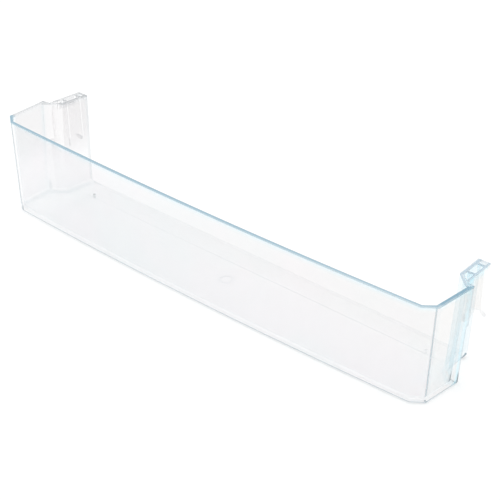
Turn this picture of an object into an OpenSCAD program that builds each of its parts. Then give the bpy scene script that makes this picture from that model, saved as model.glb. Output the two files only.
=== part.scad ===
// Door shelf of a refrigerator, moulded in one piece in clear plastic.
// An open-backed tray with a bowed front, cut corners and ends that lean out.
// Behind each end wall the side steps in, and a ribbed bracket hangs outside the narrower part.
// Origin: middle of the overall box, on the underside. X runs along the shelf, Y to the back, Z up.

/* [Tray] */
// Overall length at the rim, over the two end walls
rim_length = 458.8; // [400:1:520]
// Overall height, underside to rim
height = 84; // [70:1:110]
// Depth at the rim, from the front corners to the rear edges of the sides
rim_depth = 80.6; // [76:1:100]
// How far the middle of the front wall bows out past its corners
front_bow = 4.9; // [0.5:0.1:9]
// Width of each cut corner, along the front
corner_width = 10.2; // [5:0.1:16]
// Depth of each cut corner, along the end
corner_depth = 7.8; // [4:0.1:14]
// Depth of the end walls at the rim
end_depth = 45.6; // [42:0.1:50]
// How much further out the end walls stand at their rear edge than at the cut corner
end_splay = 2; // [0:0.1:5]

/* [Draft] */
// How far each end wall leans in towards the underside
end_lean = 5.4; // [2:0.1:8]
// How much depth the end walls lose towards the underside
end_rake = 1.6; // [0:0.1:4]
// How far each narrower side leans in towards the underside
side_lean = 3.6; // [1:0.1:6]
// How much depth the sides and the floor lose at the back towards the underside
back_rake = 2.8; // [0:0.1:6]
// How far the step in each side moves in towards the underside
step_lean = 2.3; // [1:0.1:4]
// How far the step in each side moves forward towards the underside
step_rake = 5.6; // [2:0.1:8]

/* [Walls] */
// Thickness of the front wall, of the cut corners and of the foot of the end walls
wall = 2.6; // [1.8:0.1:3.2]
// How much thicker the end walls are at the rim than at the foot
rim_gain = 0.9; // [0:0.1:1.4]
// Thickness of the slanting step and of the narrower sides
side_wall = 2.8; // [1.8:0.1:3.2]
// Thickness of the floor
floor_wall = 2.4; // [1.6:0.1:3.4]
// Radius of the fillet between the floor and the walls, inside
floor_fillet = 2.2; // [0.8:0.1:3.4]
// Radius of the edge round the underside
foot_round = 1.8; // [0.6:0.1:2.2]
// Radius of the upright corners
corner_round = 1.2; // [0.4:0.1:1.8]
// Rounding of the edges of the rim
rim_round = 0.4; // [0.2:0.1:0.7]

/* [Step in the sides] */
// How far the middle of the step's outer corner stands in from the end wall's face at the rim
step_in = 6.2; // [5:0.1:8]
// Depth of the slanting step, measured along the side
step_depth = 10; // [7:0.1:13]
// Width of the slanting step, measured along the shelf
step_width = 11; // [8:0.1:14]
// How far the step's outer corner lies in front of the end wall's rear edge
step_front = 0; // [-1:0.1:1]
// Depth of the short return between the end wall and the step, inside
return_depth = 1.3; // [0.8:0.1:2.5]
// How far the sides toe in from the step to the back
side_toe = 1.9; // [0:0.1:4]
// Radius of the lower rear corner of the sides
heel_round = 4; // [2:0.5:8]

/* [Brackets] */
// Height of the bracket, from the rim down to its front lower edge
bracket_height = 34; // [28:0.5:44]
// Clear width of the slot between the side and the bracket's plate
slot_width = 6.4; // [4.5:0.1:8]
// Thickness of the bracket's plate
plate_wall = 1.5; // [1:0.1:2.2]
// Thickness of the bracket's ribs
rib_wall = 1.4; // [1:0.1:2]
// Distance from the front of the bracket to the middle of its first rib
rib_start = 14.2; // [12:0.1:18]
// Distance between the two ribs
rib_pitch = 14; // [11:0.1:15]
// How far the rear edge of each end wall slants back towards the bracket
rear_slant = 1.2; // [0.3:0.1:2]
// How far the upper part of the end wall, beside the bracket, reaches back past the lower part
shoulder = 1.6; // [0.8:0.1:2]
// Height of the ledge that carries on behind the last rib
ledge_height = 4.5; // [2.5:0.1:8]
// Radius of the saddle in the bracket's lower edge
saddle_radius = 12.5; // [9:0.1:14]
// How high the saddle rises above the bracket's front lower edge
saddle_rise = 2; // [0.5:0.1:4]
// How far the middle of the saddle lies in front of the second rib
saddle_front = 11.7; // [8:0.1:12]
// Length of the spur behind the saddle
spur_length = 9; // [5:0.1:12]
// Width of the spur
spur_width = 2.6; // [1.6:0.1:4]
// Slope of the spur, down from level
spur_slope = 48; // [30:1:65]
// How far the first rib carries on down the side, below the bracket
gusset_drop = 9; // [4:0.5:14]
// How far that gusset stands out from the side
gusset_width = 2.2; // [1.2:0.1:3]

/* [Floor details] */
// Distance from the back of the floor to the shallow step across it
strip_depth = 22; // [14:0.5:28]
// How far that step stays clear of the sides
strip_clear = 3.5; // [2.5:0.1:8]
// How much lower the floor lies behind that step
strip_drop = 0.5; // [0.2:0.1:1]
// Diameter of the gate recess under the middle of the floor
gate_width = 9; // [6:0.5:14]
// Depth of the gate recess
gate_depth = 0.7; // [0.3:0.1:1]
// Diameter of the small pips on the floor
pip_width = 2.4; // [1.6:0.1:4]
// Height of the small pips
pip_height = 0.7; // [0.3:0.1:1.5]
// Distance of each pip from the middle of the shelf
pip_offset = 183; // [120:1:185]
// Distance of the pips from the back of the floor
pip_back = 18; // [6:0.5:20]
// Distance from the front corners back to the middle of the gate recess
gate_front = 36; // [20:0.5:50]

/* [Hidden] */
half = rim_length / 2;
// Segments of half the bowed front, of an upright corner and of an edge rounding
bow_steps = 14;
corner_steps = 3;
edge_steps = 3;
// Overlap that cuts and joins pass through a face
cut = 1;
// Height of the sloping underside of the shoulder
shoulder_slope = 0.8;
// Level of the bracket's front lower edge
bracket_foot = height - bracket_height;
rib_1 = end_depth + shoulder + rib_start - rib_wall / 2;
rib_2 = rib_1 + rib_pitch;
saddle_y = rib_2 - saddle_front;
saddle_z = bracket_foot + saddle_rise - saddle_radius;
// Level where the saddle runs into the back of the bracket
saddle_end = saddle_z + sqrt(saddle_radius * saddle_radius - pow(saddle_front - spur_width / 2, 2));
floor_back = rim_depth - back_rake;
// Shift that puts the middle of the overall box on the origin
to_middle = (rim_depth - front_bow) / 2;
clear_shade = [0.78, 0.88, 0.93, 0.55];

function unit(v) = v / norm(v);
function left_of(v) = [-v.y, v.x];
// Share of the lean that is left at height z: all of it at the underside, none at the rim
function low(z) = 1 - z / height;

// Vertex i of a closed outline, moved to the left of its direction by d with a mitred corner
function mitred(p, i, d) =
    let (n = len(p),
         a = left_of(unit(p[i] - p[(i + n - 1) % n])),
         b = left_of(unit(p[(i + 1) % n] - p[i])))
    p[i] + d * (a + b) / (1 + a * b);
function inset(p, d) = [for (i = [0:len(p) - 1]) mitred(p, i, d)];

// Arc of radius r that rounds the corner b between a and c
function rounded(a, b, c, r) =
    let (u = unit(a - b),
         v = unit(c - b),
         half_turn = acos(u * v) / 2,
         centre = b + unit(u + v) * r / sin(half_turn),
         first = b + u * r / tan(half_turn) - centre,
         last = b + v * r / tan(half_turn) - centre)
    [for (k = [0:corner_steps]) centre + r * unit(first + (last - first) * k / corner_steps)];

// Points of the right half of the bowed front, from the middle up to the corner point p
function bow(p) =
    let (radius = (p.x * p.x + front_bow * front_bow) / (2 * front_bow))
    [for (k = [0:bow_steps - 1])
        let (x = p.x * k / bow_steps)
        [x, p.y - front_bow + radius - sqrt(radius * radius - x * x)]];

// Closed outline that starts at the middle of the front, from its right half h.
// Its corners are rounded by r, all but the one named sharp.
function outline(h, r, sharp) =
    let (last = len(h) - 1,
         ends = concat(rounded([h[0].x - 20, h[0].y], h[0], h[1], r),
                       [for (i = [1:last - 1]) each i == sharp ? [h[i]] : rounded(h[i - 1], h[i], h[i + 1], r)],
                       [h[last]]),
         right = concat(bow(ends[0]), ends))
    concat(right, [for (i = [len(right) - 1:-1:1]) [-right[i].x, right[i].y]]);

// Corner points of the right-hand end at height z, seen from above: outer faces of the tray
function corner_a(z) = [half - end_splay - corner_width - end_lean * low(z), 0];
function corner_b(z) = [half - end_splay - end_lean * low(z), corner_depth];
function corner_c(z) = [half - end_lean * low(z), end_depth - end_rake * low(z)];
function end_wall(z) = wall + rim_gain * (1 - low(z));

// Middle line of the step and of the narrower side
function step_start(z) = [half - step_in - step_lean * low(z), end_depth - step_front - step_rake * low(z)];
function side_start(z) =
    [half - step_in - step_width - side_lean * low(z), end_depth - step_front + step_depth - step_rake * low(z)];
function side_end(z) = [side_start(z).x - side_toe, rim_depth - back_rake * low(z)];
// The same line moved by d, out of the tray where d is positive
function side_line(z, d) =
    let (a = left_of(unit(side_start(z) - step_start(z))),
         b = left_of(unit(side_end(z) - side_start(z))))
    [step_start(z) - d * a, side_start(z) - d * (a + b) / (1 + a * b), side_end(z) - d * b];

// Where the line from p to q crosses the level line at y
function at_y(p, q, y) = [p.x + (y - p.y) * (q.x - p.x) / (q.y - p.y), y];

// Right half of the tray's outer outline, with the shoulder beside the bracket or without it
function outer_half(z, shouldered) =
    let (s = side_line(z, side_wall / 2),
         back = [corner_c(z).x, shouldered ? end_depth + shoulder : corner_c(z).y])
    [corner_a(z), corner_b(z), back, at_y(s[0], s[1], back.y + rear_slant), s[1], s[2]];

// Outline of the bracket's plate seen from above, moved out of the tray by d from its inner face
function plate_line(d) = side_line(height, side_wall / 2 + slot_width + d);
function plate_x(y) = at_y(plate_line(0)[1], plate_line(0)[2], y).x;

// Right half of the tray's hollow, which runs out past the back
function inner_half(z) =
    let (s = side_line(z, -side_wall / 2),
         gain = [end_wall(z) - wall, 0],
         front = inset([[0, 0], corner_a(z), corner_b(z), corner_c(z), [0, end_depth]], wall),
         bend = at_y(front[2] - gain, front[3] - gain, s[0].y - return_depth))
    [front[1], front[2] - gain, bend, s[0], s[1], at_y(s[1], s[2], rim_depth + floor_fillet + cut)];

// Triangles that close a mirrored outline of n points, from side to side
function cap(n) =
    [for (i = [0:(n - 3) / 2])
        each i == 0 ? [[0, 1, n - 1]] : [[i, i + 1, n - i - 1], [i, n - i - 1, n - i]]];

// Solid between two or more closed, mirrored outlines with the same number of points
module loft(rings, levels) {
    n = len(rings[0]);
    m = len(rings);
    points = [for (k = [0:m - 1]) for (p = rings[k]) [p.x, p.y, levels[k]]];
    walls = [for (k = [0:m - 2]) for (i = [0:n - 1])
        let (j = (i + 1) % n)
        each [[k * n + i, (k + 1) * n + i, k * n + j], [k * n + j, (k + 1) * n + i, (k + 1) * n + j]]];
    top = [for (t = cap(n)) [for (i = [2:-1:0]) (m - 1) * n + t[i]]];
    polyhedron(points, concat(cap(n), walls, top));
}

// Offset and level of a quarter round of radius r, from level to upright
function quarter(r) = [for (k = [0:edge_steps]) let (a = 90 * k / edge_steps) r * [1 - sin(a), 1 - cos(a)]];

// Outside of the tray, with its rounded foot and rim and the shoulders beside the brackets
module tray_outside() {
    rim = [for (k = [edge_steps:-1:0]) let (e = quarter(rim_round)[k]) [e.x, height - e.y]];
    lower = concat(quarter(foot_round), [[0, bracket_foot]]);
    upper = concat([[0, bracket_foot + shoulder_slope]], rim);
    loft(concat([for (e = lower) inset(outline(outer_half(e.y, false), corner_round, -1), e.x)],
                [for (e = upper) inset(outline(outer_half(e.y, true), corner_round, -1), e.x)]),
         [for (e = concat(lower, upper)) e.y]);
}

// Hollow of the tray, with a fillet round the floor and rounded rim edges
module tray_hollow() {
    fillet = [for (e = quarter(floor_fillet)) [e.x, floor_wall + e.y]];
    rim = [for (k = [edge_steps:-1:0]) let (e = quarter(rim_round)[k]) [-e.x, height - e.y]];
    steps = concat(fillet, rim, [[-rim_round, height + cut]]);
    loft([for (e = steps) inset(outline(inner_half(e.y), corner_round, 3), e.x)], [for (e = steps) e.y]);
}

// Extrudes a shape drawn in side view, Y to the right and Z up, along X between two places
module across(from, to) {
    translate([from, 0, 0])
        rotate([90, 0, 90])
            linear_extrude(to - from)
                children();
}

// Side view of the bracket without its spur: square front, saddle below, ledge behind
module bracket_profile() {
    difference() {
        translate([end_depth - cut, saddle_end - spur_width / 2])
            square([rim_depth - end_depth + cut, height - saddle_end + spur_width / 2]);
        translate([saddle_y, saddle_z])
            circle(saddle_radius, $fn = 64);
        translate([end_depth - 2 * cut, 0])
            square([saddle_y - end_depth + 2 * cut, bracket_foot]);
        translate([rib_2 + rib_wall / 2, 0])
            square([rim_depth, height - ledge_height]);
    }
}

// Spur that slants down and back behind the saddle
module spur_profile() {
    translate([rib_2 - spur_width / 2, saddle_end])
        rotate(-spur_slope) {
            translate([0, -spur_width / 2])
                square([spur_length, spur_width]);
            translate([spur_length, 0])
                circle(d = spur_width, $fn = 32);
        }
}

// Outer plate of the bracket on the right
module plate() {
    inner = plate_line(0);
    outer = plate_line(plate_wall);
    front = end_depth + shoulder - cut;
    intersection() {
        linear_extrude(height)
            polygon([at_y(inner[1], inner[2], front), at_y(outer[1], outer[2], front),
                     at_y(outer[1], outer[2], rim_depth), at_y(inner[1], inner[2], rim_depth)]);
        across(0, half) {
            bracket_profile();
            spur_profile();
        }
    }
}

// Rib between the right-hand side and the plate, with its middle at y, down to the level foot
module rib(y, foot) {
    inside = side_line((bracket_foot + height) / 2, 0);
    from = at_y(inside[1], inside[2], y).x;
    intersection() {
        translate([from, y - rib_wall / 2, foot])
            cube([plate_x(y) + plate_wall / 2 - from, rib_wall, height - foot]);
        across(0, half)
            bracket_profile();
    }
}

// The first rib's lower end, which carries on down the side as a narrow gusset
module gusset() {
    inside = side_line(bracket_foot, 0);
    outside = side_line(bracket_foot, side_wall / 2 + gusset_width);
    from = at_y(inside[1], inside[2], rib_1).x;
    translate([from, rib_1 - rib_wall / 2, bracket_foot - gusset_drop])
        cube([at_y(outside[1], outside[2], rib_1).x - from, rib_wall, gusset_drop + saddle_rise + cut]);
}

module bracket() {
    plate();
    rib(rib_1, 0);
    rib(rib_2, 0);
    rib(rim_depth - rib_wall / 2, height - ledge_height);
    gusset();
}

// Waste outside the rounded lower rear corner of the right-hand side
module heel_cut() {
    across(side_line(0, -side_wall / 2 - floor_fillet)[2].x, half)
        translate([floor_back - heel_round, 0])
            difference() {
                square([heel_round + back_rake + cut, heel_round]);
                translate([0, heel_round])
                    circle(heel_round, $fn = 48);
            }
}

module both_ends() {
    children();
    mirror([1, 0, 0])
        children();
}

// Shallow step across the back of the floor, and the gate recess under its middle
module floor_cuts() {
    reach = side_end(0).x - side_wall / 2 - strip_clear;
    translate([-reach, floor_back - strip_depth, floor_wall - strip_drop])
        cube([2 * reach, strip_depth + cut, strip_drop + cut]);
    translate([0, gate_front, -cut])
        cylinder(d = gate_width, h = gate_depth + cut, $fn = 48);
}

module door_shelf()
    color(clear_shade)
    translate([0, -to_middle, 0]) {
        difference() {
            union() {
                tray_outside();
                both_ends() bracket();
            }
            tray_hollow();
            both_ends() heel_cut();
            floor_cuts();
        }
        both_ends()
            translate([pip_offset, floor_back - pip_back, floor_wall - strip_drop - pip_height])
                cylinder(d = pip_width, h = 2 * pip_height, $fn = 32);
    }

door_shelf();
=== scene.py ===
"""Clear plastic door shelf of a refrigerator, on a plain pale floor in soft studio light."""

import math

import bpy
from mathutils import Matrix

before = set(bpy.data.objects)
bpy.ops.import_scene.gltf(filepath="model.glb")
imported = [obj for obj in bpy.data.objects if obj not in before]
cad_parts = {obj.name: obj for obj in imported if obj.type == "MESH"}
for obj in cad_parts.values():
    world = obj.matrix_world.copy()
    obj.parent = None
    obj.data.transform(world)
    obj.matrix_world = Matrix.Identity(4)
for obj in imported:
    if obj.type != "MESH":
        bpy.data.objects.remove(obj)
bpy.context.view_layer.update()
scene = bpy.context.scene

# Camera, at the photograph's angle: in front of the right-hand end, looking down
YAW = math.radians(42.259)
PITCH = math.radians(30.45)
FOCAL_PIXELS = 1522.01
IMAGE_PIXELS = 500
SENSOR = 36.0
CAMERA_PLACE = (0.72302, -0.76896, 0.64731)

# Sizes of the shelf in millimetres, with depths from its front corners
HEIGHT = 84.0
TO_MIDDLE = 37.85
FRONT_WALL = 2.6
BOW = 4.9
BOW_HALF = 214.0
BACK = 80.6
BACK_RAKE = 2.8
HEEL = 206.0
NOTCH = (221.5, 38.4)
GATE = (0.0, 36.0)
GATE_RADIUS = 5.0
PIP = (183.0, 59.8)
FLOOR_STEP = 56.4
GUSSET = 61.4
GUSSET_FOOT = 41.0
SPUR_FRONT = 73.5
SPUR_TOP = 46.5

# Upright edges of each end: distance from the middle and depth, at the underside and at the rim
CORNER = ((222.0, 7.8), (227.4, 7.8))
CORNER_LINE = ((219.4, 10.0), (224.0, 10.0))
INNER_FRONT = ((211.0, 2.6), (216.3, 2.6))
INNER_CORNER = ((219.4, 9.1), (224.0, 9.1))
END_BEND = ((221.0, 37.6), (225.8, 43.3))
END_REAR = ((224.0, 44.0), (229.4, 46.4))
STEP_START = ((220.0, 38.9), (222.3, 44.6))
STEP_END = ((207.2, 49.3), (210.9, 54.9))
SIDE_REAR = ((205.3, 77.7), (208.9, 80.5))


class Value:
    """A number that changes over the surface: a socket with Python's operators."""

    def __init__(self, nodes, socket):
        self.nodes = nodes
        self.socket = socket

    def maths(self, operation, *others):
        return self.nodes.add("ShaderNodeMath", {"operation": operation}, self, *others)

    def __add__(self, other):
        return self.maths("ADD", other)

    def __sub__(self, other):
        return self.maths("SUBTRACT", other)

    def __mul__(self, other):
        return self.maths("MULTIPLY", other)

    def __truediv__(self, other):
        return self.maths("DIVIDE", other)

    def __rsub__(self, other):
        return (self * -1.0) + other

    __radd__ = __add__
    __rmul__ = __mul__

    def high(self, other):
        return self.maths("MAXIMUM", other)

    def low(self, other):
        return self.maths("MINIMUM", other)

    def size(self):
        return self.maths("ABSOLUTE")

    def root(self):
        return self.maths("SQRT")

    def rise(self, start, end):
        """0 below start and 1 above end, with a smooth step between."""
        return self.nodes.add("ShaderNodeMapRange", {"interpolation_type": "SMOOTHSTEP"}, self, start, end)


class Nodes:
    """Builds one material's nodes."""

    def __init__(self, tree):
        self.tree = tree

    def add(self, kind, settings, *inputs, out=0):
        node = self.tree.nodes.new(kind)
        for name, value in settings.items():
            setattr(node, name, value)
        for socket, value in zip([s for s in node.inputs if s.enabled], inputs):
            self.feed(socket, value)
        return Value(self, [s for s in node.outputs if s.enabled][out])

    def feed(self, socket, value):
        if isinstance(value, Value):
            self.tree.links.new(value.socket, socket)
        elif value is not None:
            socket.default_value = value

    def mix(self, factor, first, second):
        """Colour first where factor is 0 and second where it is 1."""
        node = self.tree.nodes.new("ShaderNodeMix")
        node.data_type = "RGBA"
        for socket, value in ((node.inputs[0], factor), (node.inputs[6], first), (node.inputs[7], second)):
            self.feed(socket, value)
        return Value(self, node.outputs[2])


def add_camera():
    data = bpy.data.cameras.new("camera")
    data.sensor_width = SENSOR
    data.lens = SENSOR * FOCAL_PIXELS / IMAGE_PIXELS
    data.clip_end = 50.0
    camera = bpy.data.objects.new("camera", data)
    camera.location = CAMERA_PLACE
    camera.rotation_euler = (math.pi / 2 - PITCH, 0.0, YAW)
    scene.collection.objects.link(camera)
    scene.camera = camera


def add_floor():
    """A wide pale floor, a hair under the shelf."""
    bpy.ops.mesh.primitive_plane_add(size=12.0, location=(0.0, 0.0, -0.0006))
    floor = bpy.context.object
    floor.name = "floor"
    material = bpy.data.materials.new("floor")
    material.use_nodes = True
    shader = material.node_tree.nodes["Principled BSDF"]
    shader.inputs["Base Color"].default_value = (0.6, 0.6, 0.6, 1.0)
    shader.inputs["Emission Color"].default_value = (1.0, 1.0, 1.0, 1.0)
    shader.inputs["Emission Strength"].default_value = 0.353
    shader.inputs["Roughness"].default_value = 0.9
    floor.data.materials.append(material)


def add_light():
    """Even soft light from all round."""
    world = bpy.data.worlds.new("studio")
    world.use_nodes = True
    background = world.node_tree.nodes["Background"]
    background.inputs["Color"].default_value = (1.0, 1.0, 1.0, 1.0)
    background.inputs["Strength"].default_value = 1.175
    scene.world = world


# Colours of the clear plastic: in its walls and floor, through a long way of it, and in its edges
COOL = (0.445, 0.48, 0.51, 1.0)
WARM = (0.55, 0.46, 0.515, 1.0)
# The floor's grey is its own faint tone, deepened as painted shade for the shelf's shadow, which the glowing ground
# keeps off
FLOOR_GREY_AND_SHADE = (0.60, 0.58, 0.58, 1.0)
# The next cyan paints the glow below the rims, and tints the end strips
SKY = (0.34, 0.84, 1.0, 1.0)
LONG_WAY = (0.30, 0.82, 0.98, 1.0)
TEAL = (0.34, 0.50, 0.55, 1.0)
EDGE = (0.33, 0.43, 0.48, 1.0)
FOOT_LINE = (0.20, 0.29, 0.33, 1.0)
DARK = (0.16, 0.20, 0.23, 1.0)
RIM_LEFT = (0.29, 0.44, 0.53, 1.0)
RIM_RIGHT = (0.40, 0.53, 0.60, 1.0)
RIM_DEEP = (0.18, 0.34, 0.44, 1.0)
RIM_PALE = (0.42, 0.53, 0.61, 1.0)
RIM_GREY = (0.42, 0.44, 0.46, 1.0)
PALE_GREY = (0.52, 0.48, 0.49, 1.0)
PANEL = (0.53, 0.41, 0.33, 1.0)

# Share of the light that one surface of each part takes away
WALL = 0.08
PLATE = 0.045
FLOOR = 0.028
RIM = 0.72
FOOT = 0.94
GRAZING = 0.18


class Shelf:
    """Places on the shelf, read from Object coordinates, in millimetres.

    x is the distance from the middle, side the same with its sign, y the depth from the front
    corners and z the height. Each mask is 1 on the part that it is named for and 0 elsewhere.
    """

    def __init__(self, n):
        self.spot = n.add("ShaderNodeTexCoord", {}, out=3)
        x, y, z = (n.add("ShaderNodeSeparateXYZ", {}, self.spot, out=i) for i in range(3))
        self.side = x * 1000.0
        self.x = self.side.size()
        self.y = y * 1000.0 + TO_MIDDLE
        self.z = z * 1000.0
        self.find_parts()

    def lean(self, edge, i):
        """Where a leaning edge is at this height, foot + z (top - foot) / HEIGHT, in x or y."""
        return self.z * ((edge[1][i] - edge[0][i]) / HEIGHT) + edge[0][i]

    def from_edge(self, edge):
        """Distance from a leaning edge, the root of dx squared and dy squared."""
        across = self.x - self.lean(edge, 0)
        along = self.y - self.lean(edge, 1)
        return (across * across + along * along).root()

    def near(self, edge, radius, fade):
        """Mask of what lies within the radius of an edge, fading out over the last stretch."""
        return 1.0 - self.from_edge(edge).rise(radius, radius + fade)

    def below(self, start, end):
        """Mask of what lies below a height."""
        return 1.0 - self.z.rise(start, end)

    def inside(self, first, last):
        """Distance in from the wall face that two edges span, (dx y - dy x) / length."""
        dx, dy = last[0][0] - first[0][0], last[0][1] - first[0][1]
        length = math.hypot(dx, dy)
        across = self.x - self.lean(first, 0)
        along = self.y - self.lean(first, 1)
        return along * (dx / length) - across * (dy / length)

    def from_front(self):
        """Distance in from the bowed front face, y + BOW (1 - (x / BOW_HALF) squared)."""
        return self.y + (1.0 - self.x * self.x / (BOW_HALF * BOW_HALF)).high(0.0) * BOW

    def find_parts(self):
        # right rises from the left end to the right end; much of what follows it is painted light, the ends tinted and
        # shaded differently for how light passes through them
        self.right = self.side.rise(-160.0, 215.0)
        self.far_right = self.right.rise(0.9, 1.0)
        self.far_front = self.side.rise(90.0, 200.0) * (1.0 - self.y.rise(5.0, 8.0))
        self.at_end = self.y.rise(8.5, 13.0)
        self.left_end = (self.side * -1.0).rise(188.0, 198.0) * self.at_end
        past_bend = self.y - END_BEND[1][1] - (self.x - END_BEND[1][0])
        self.behind = past_bend.rise(-0.3, 0.9) * self.x.rise(196.0, 200.0)
        # How far in from the inner faces: of the stepped side, of a whole end, of all the walls
        side = self.inside(STEP_START, STEP_END).high(self.inside(STEP_END, SIDE_REAR))
        self.out_from_side = side * -1.0
        self.to_end = self.inside(INNER_CORNER, END_BEND).low(side)
        cut_corner = self.inside(INNER_FRONT, INNER_CORNER)
        self.to_wall = self.to_end.low(cut_corner).low(self.from_front() - FRONT_WALL)
        self.bracket = self.out_from_side.rise(2.9, 3.2) * self.behind


def plastic_masks(on):
    """Masks of the places where the clear plastic looks darker, paler or bluer."""
    near_foot = on.below(5.0, 11.0)
    low_back = on.y - BACK + (1.0 - on.z / HEIGHT) * BACK_RAKE
    under = on.below(0.02, 0.1) * on.to_wall.rise(0.5, 3.5)
    on_top = on.z.rise(0.1, 0.5) * on.below(3.2, 5.0) * on.to_wall.rise(-1.2, -0.4)
    along_front = 1.0 - on.y.rise(4.0, 9.0) * (1.0 - on.far_right * (1.0 - on.y.rise(42.0, 46.0)))
    above_floor = on.z.rise(2.0, 2.6)
    return {
        # Top faces, their darkest line, the pale half of the side's, and the strip below them, which takes a painted
        # glow
        "rim": on.z.rise(82.4, 83.5),
        "core": on.to_wall.rise(-2.8, -1.7) * (1.0 - on.to_wall.rise(-1.1, 0.1)),
        "pale_half": (1.0 - on.out_from_side.rise(0.8, 1.2)) * on.y.rise(54.0, 56.0) * on.behind * on.right,
        "pale_step": on.out_from_side.rise(0.9, 1.4) * (1.0 - on.y.rise(53.0, 55.0)) * (on.behind - on.bracket) * on.right,
        "rear_rib": on.y.rise(78.0, 78.6) * on.bracket * (1.0 - on.out_from_side.rise(8.6, 9.2)) * on.right,
        "glow": on.z.rise(79.0, 83.0) * (1.0 - on.left_end.high(on.bracket) * 0.85),
        "cell": on.out_from_side.rise(2.2, 3.0) * (1.0 - on.out_from_side.rise(9.3, 9.6)) * on.z.rise(70.0, 80.0) * on.behind * on.right,
        "left_cell": on.out_from_side.rise(8.6, 9.1) * (1.0 - on.out_from_side.rise(9.4, 9.8)) * on.z.rise(73.0, 78.0) * on.behind * on.left_end,
        "left_step": on.y.rise(47.0, 48.5) * (1.0 - on.y.rise(52.0, 54.0)) * on.left_end,
        "left_corners": (on.near(END_REAR, 2.4, 1.2) + on.y.rise(77.5, 79.0) * (1.0 - on.out_from_side.rise(2.8, 3.2)) * on.behind) * on.left_end,
        # Rounded edge of the underside, without the gate's recess, and its part in full view
        "foot": on.z.rise(0.01, 0.1) * on.below(0.1, 0.7) * on.from_edge((GATE, GATE)).rise(GATE_RADIUS - 0.4, GATE_RADIUS + 0.4),
        "along_front": along_front,
        "heel": low_back.rise(-7.0, -5.0) * on.below(1.6, 2.6) * on.x.rise(HEEL, HEEL + 1.0) * on.right,
        # Upright edges
        "corner": on.near(CORNER, 0.9, 0.8),
        "corner_line": on.near(CORNER_LINE, 0.6, 0.8) * on.right,
        "end_rear": on.near(END_REAR, 1.4, 1.4),
        "end_bend": on.near(END_BEND, 0.8, 1.4) * above_floor,
        "notch": on.near((NOTCH, NOTCH), 1.6, 0.9) * above_floor * on.below(9.0, 13.0) * on.right,
        "strip": (on.y - on.lean(END_BEND, 1)).rise(-1.5, 2.5) * (on.x - on.lean(STEP_START, 0)).rise(0.5, 1.5) * (on.right * 0.8 + 0.2),
        # The right end's side behind its bend, where painted shade goes
        "step": (on.behind - on.bracket) * (1.0 - on.y.rise(52.0, 56.0)) * on.right,
        "notch_haze": on.near((NOTCH, NOTCH), 2.5, 4.0) * above_floor * on.below(10.0, 22.0) * on.right,
        "near_foot": near_foot,
        "upper": on.z.rise(45.0, 70.0) * (1.0 - on.at_end) * (on.right * 0.7 + 0.3),
        "left_upper": on.left_end * on.z.rise(25.0, 55.0),
        "back": low_back.rise(-0.7, -0.2),
        # The floor, and the soft band where it runs up into the ends
        "floor": under.high(on_top),
        "seam": (1.0 - on.to_end.rise(3.0, 11.0)) * on.to_end.rise(-1.0, -0.3) * on.below(2.7, 3.7) * on.z.rise(1.0, 1.8),
        # Small marks
        "pip": on.near((PIP, PIP), 1.2, 0.3),
        "floor_step": (1.0 - (on.y - FLOOR_STEP).size().rise(0.3, 0.9)) * on_top * (1.0 - on.x.rise(190.0, 200.0)),
        "gate": (1.0 - on.from_edge((GATE, GATE)).rise(4.0, 11.0)) * under,
        "spur": on.y.rise(SPUR_FRONT, SPUR_FRONT + 1.0) * on.below(SPUR_TOP - 2.0, SPUR_TOP) * on.bracket,
        "gusset": (1.0 - (on.y - GUSSET).size().rise(0.8, 1.2)) * on.bracket * on.z.rise(GUSSET_FOOT - 0.6, GUSSET_FOOT) * on.below(46.0, 49.0),
    }


def plastic_tint(n, on, m, cloud, grazing):
    """Colour of what each place takes from the light."""
    tint = n.mix(cloud.rise(0.35, 0.65), COOL, WARM)
    tint = n.mix(((on.at_end - on.behind).high(on.bracket) * 0.7 + on.z.rise(25.0, 65.0) * 0.3) * on.right, tint, PANEL)
    # The floor takes its grey, partly painted shade for the shelf's shadow
    tint = n.mix(m["floor"], tint, FLOOR_GREY_AND_SHADE)
    tint = n.mix(m["left_upper"] * 0.9, tint, PALE_GREY)
    # Painted glow below the rims, and the cyan of the end strip
    tint = n.mix((m["glow"] * 0.8).high(m["strip"]), tint, SKY)
    tint = n.mix(grazing.high(m["cell"]).high((on.behind - on.bracket) * on.right * 0.65), tint, LONG_WAY)
    tint = n.mix((m["seam"] * 0.8).high(m["gate"]).high(m["floor_step"]), tint, TEAL)
    edges = m["foot"].high(m["corner"]).high(m["corner_line"]).high(m["end_rear"]).high(m["end_bend"]).high(m["back"])
    tint = n.mix(edges, tint, EDGE)
    tint = n.mix(m["foot"], tint, FOOT_LINE)
    # The rims' blue-grey is the plastic seen along its length; their change from end to end, greyer on the left and
    # bluer and deeper on the right, is painted light
    rim = n.mix(on.right, RIM_LEFT, RIM_RIGHT)
    rim = n.mix((on.far_right * on.at_end).high(m["core"] * 0.5), rim, RIM_DEEP)
    rim = n.mix(on.behind, rim, RIM_PALE)
    rim = n.mix(on.left_end, rim, RIM_GREY)
    tint = n.mix(m["rim"], tint, rim)
    marks = m["pip"].high(m["heel"]).high(m["notch"]).high(m["spur"]).high(m["gusset"])
    return n.mix(marks.high(m["end_rear"] * m["near_foot"] * on.right), tint, DARK)


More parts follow.
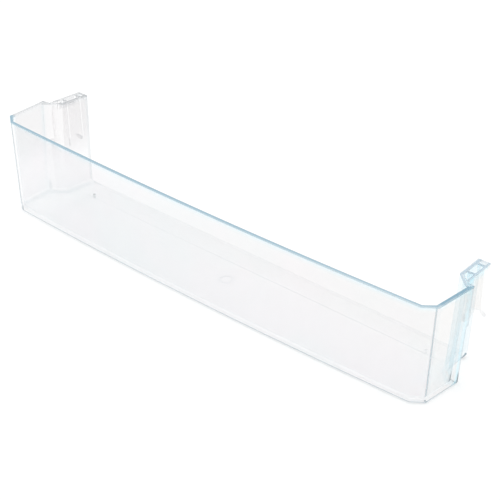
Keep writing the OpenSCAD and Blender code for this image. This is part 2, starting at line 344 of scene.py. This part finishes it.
def plastic_cover(on, m, grazing):
    """Share of the light that each place takes away."""
    thin = (1.0 - on.at_end) * (1.0 - on.side.rise(-215.0, -120.0)) * 0.04 + (on.at_end - on.behind) * on.right * (0.034 - on.z.rise(20.0, 70.0) * 0.022) - on.right * (1.0 - on.bracket) * 0.016
    cover = WALL - m["floor"] * (on.right * 0.019 + (WALL - FLOOR)) - on.bracket * (WALL - PLATE) - thin * (1.0 - m["floor"])
    cover = cover + grazing * GRAZING + m["glow"] * 0.055 + m["cell"] * 0.08 + m["strip"] * 0.05
    # Painted light on the left end: its share grows with height, so it is painted lighter near its foot, against the
    # shade that gathers there, and darker higher up
    cover = cover + m["seam"] * (0.05 - on.right * 0.03) + m["upper"] * 0.025 + on.left_end * (on.z.rise(15.0, 75.0) * 0.045 - 0.022)
    cover = cover + m["left_upper"] * ((on.behind - on.bracket) * 0.052 - on.bracket * 0.11 + m["strip"] * 0.05 + 0.045)
    cover = cover + m["left_cell"] * 0.3
    # Painted shade at the right end: its side painted lighter towards the top, its strip darker low down near the foot,
    # and darker round the notch
    cover = cover - m["step"] * on.z.rise(40.0, 75.0) * 0.05 + m["strip"] * on.right * on.below(14.0, 30.0) * 0.05 + m["notch_haze"] * 0.1
    for part in (
        m["foot"] * (m["along_front"] * (FOOT - 0.33 + on.side.rise(-215.0, -150.0) * 0.25 + on.side.rise(-60.0, 120.0) * (1.0 - on.at_end) * 0.1 - on.far_right * on.at_end * 0.2) + 0.08),
        m["heel"] * 0.85,
        m["corner"] * (0.45 - on.right * 0.35),
        m["corner_line"] * 0.62,
        m["end_rear"] * (m["near_foot"] * 0.5 + 0.2) * (on.right * 0.8 + 0.2),
        m["end_bend"] * (m["near_foot"] * 0.2 + 0.1) * on.right,
        m["notch"] * 0.55,
        m["back"] * (on.left_end * 0.1 + 0.06),
        m["spur"] * 0.1,
        m["floor_step"] * (on.side.rise(-120.0, 20.0) * 0.05 + 0.04),
        m["gate"] * 0.09,
        m["gusset"] * 0.16,
        m["pip"] * (0.35 - on.right * 0.25),
        m["rim"] * (m["core"] * 0.24 - on.left_end * (0.49 - on.behind * 0.21 + on.out_from_side.rise(8.6, 9.2) * on.behind * 0.16) - m["left_step"] * 0.24 + m["left_corners"] * 0.35 - (m["pale_half"] * 0.35).high(m["pale_step"].high(m["rear_rib"]) * 0.45) + RIM + 0.03 - on.far_front * 0.11),
    ):
        cover = cover.high(part)
    return cover


def clear_plastic():
    """Clear plastic with blue-grey edges, a deeper blue where the look runs along a wall."""
    material = bpy.data.materials.new("clear_plastic")
    material.use_nodes = True
    n = Nodes(material.node_tree)
    on = Shelf(n)
    masks = plastic_masks(on)
    cloud = n.add("ShaderNodeTexNoise", {}, on.spot, 16.0, 2.0)
    facing = n.add("ShaderNodeLayerWeight", {}, 0.5, out=1)
    grazing = facing * facing * facing
    shader = material.node_tree.nodes["Principled BSDF"]
    shader.inputs["IOR"].default_value = 1.5
    n.feed(shader.inputs["Base Color"], plastic_tint(n, on, masks, cloud, grazing))
    n.feed(shader.inputs["Alpha"], plastic_cover(on, masks, grazing))
    n.feed(shader.inputs["Roughness"], cloud * 0.08 + 0.04)
    return material


scene.cycles.transparent_max_bounces = 32
scene.view_settings.view_transform = "Standard"
add_camera()
add_floor()
add_light()
plastic = clear_plastic()
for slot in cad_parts["door_shelf"].material_slots:
    slot.material = plastic
